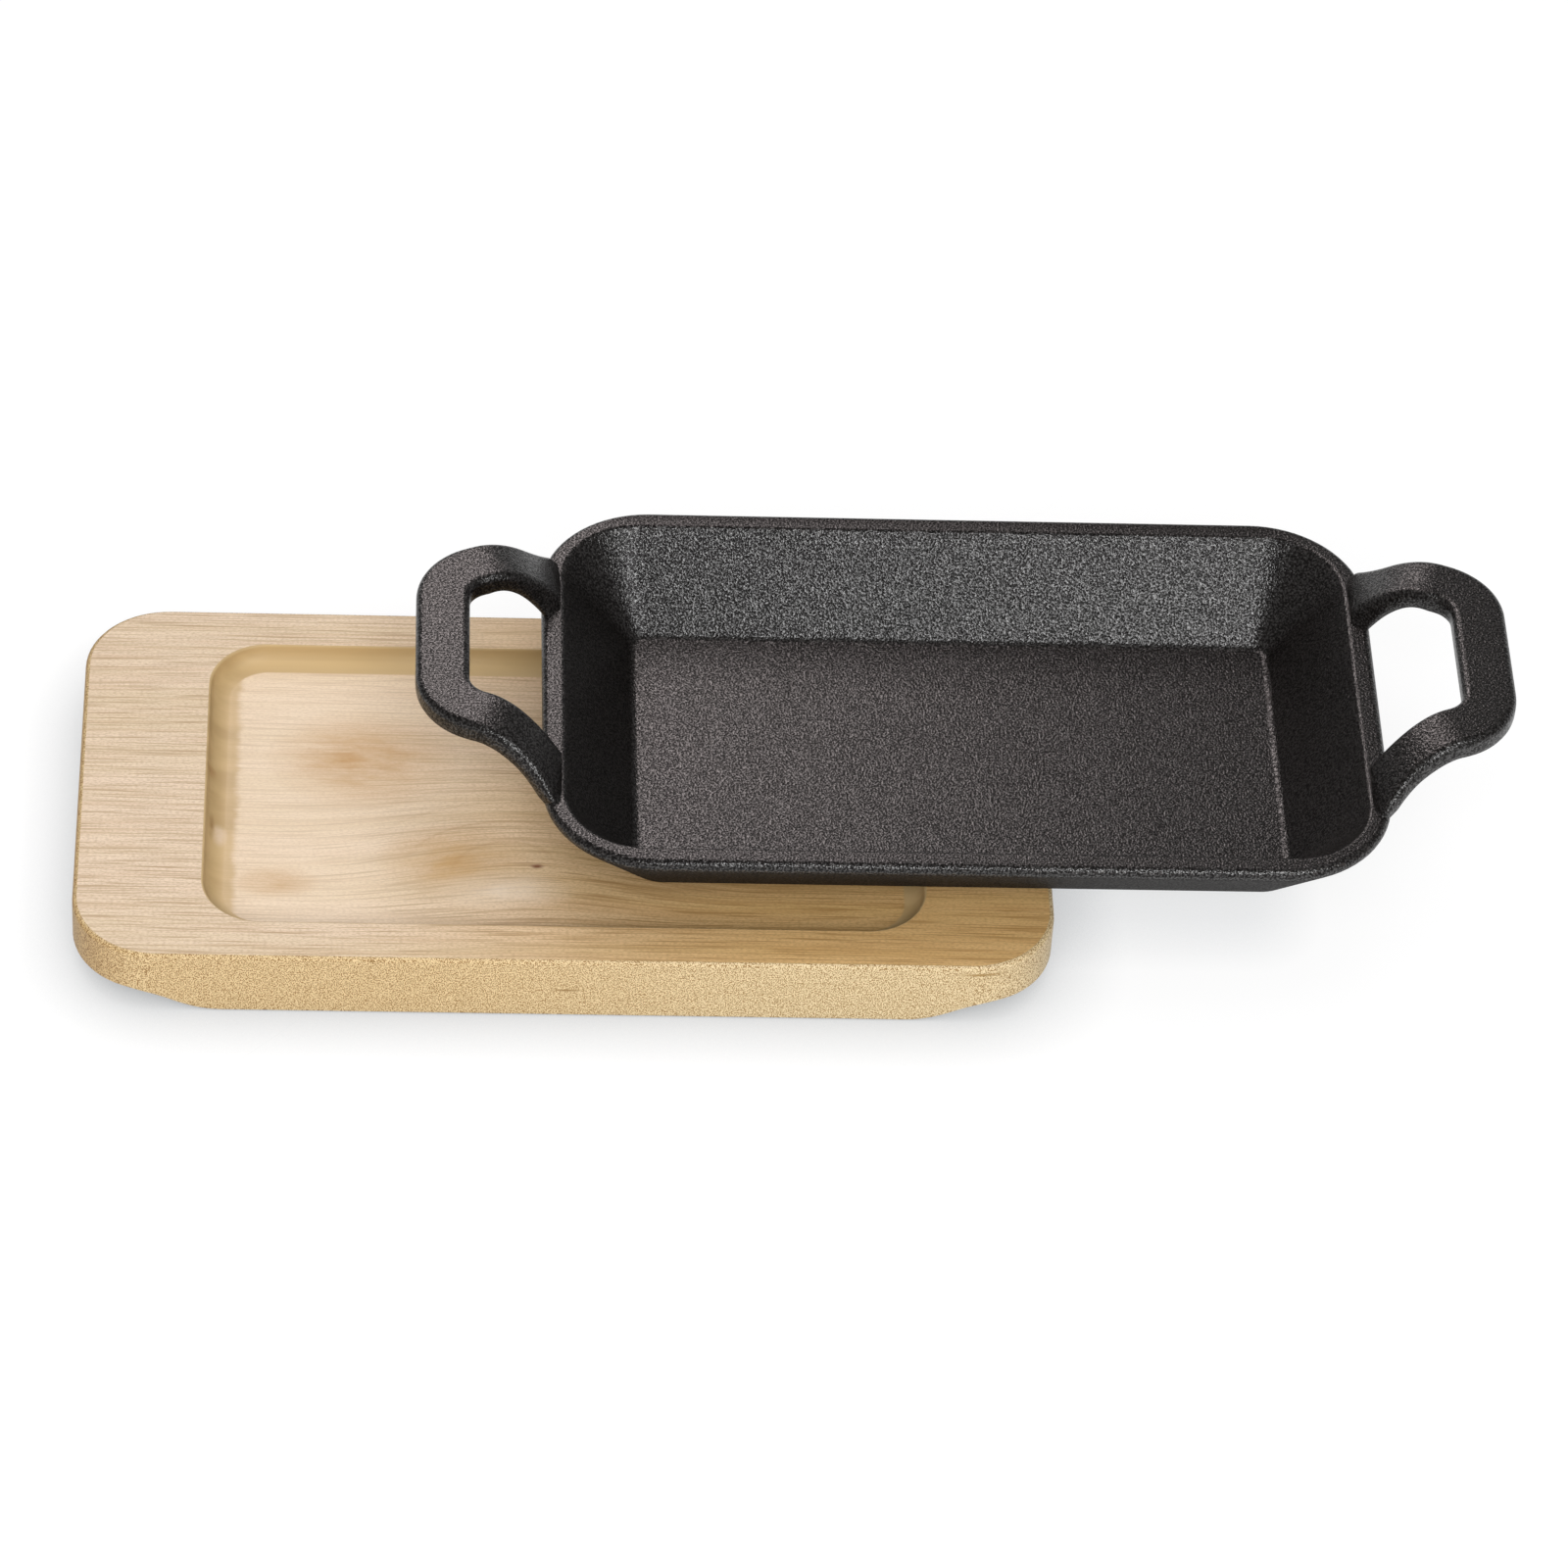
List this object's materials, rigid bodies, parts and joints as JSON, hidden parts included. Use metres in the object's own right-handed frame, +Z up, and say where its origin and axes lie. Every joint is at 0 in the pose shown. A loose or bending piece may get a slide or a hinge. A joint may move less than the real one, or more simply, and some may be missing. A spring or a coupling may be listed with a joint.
{
  "type": "cast iron serving dish with wooden board",
  "caption": "Shallow tapered cast iron serving dish with raised loop handles, lying across one end of the recessed hardwood board it is served on.",
  "frame": {"origin": "middle of the board's flat foot, on the table", "axes": "+X along the board's length, towards the end that carries the dish; +Y across it, towards the rear long side; +Z up"},
  "size_m": [0.3381, 0.1287, 0.059],
  "materials": {
    "pale_hardwood": "sanded and lightly oiled",
    "seasoned_iron": "fine sand-cast grain, seasoned, satin"
  },
  "bodies": {
    "board": {"serving_board": "pale_hardwood"},
    "dish": {"cast_iron_dish": "seasoned_iron"}
  },
  "joints": [
    {"name": "dish_lift", "type": "slide", "parent": "board", "child": "dish", "axis": [0, 0, 1], "range_m": [0, 0.06]}
  ]
}
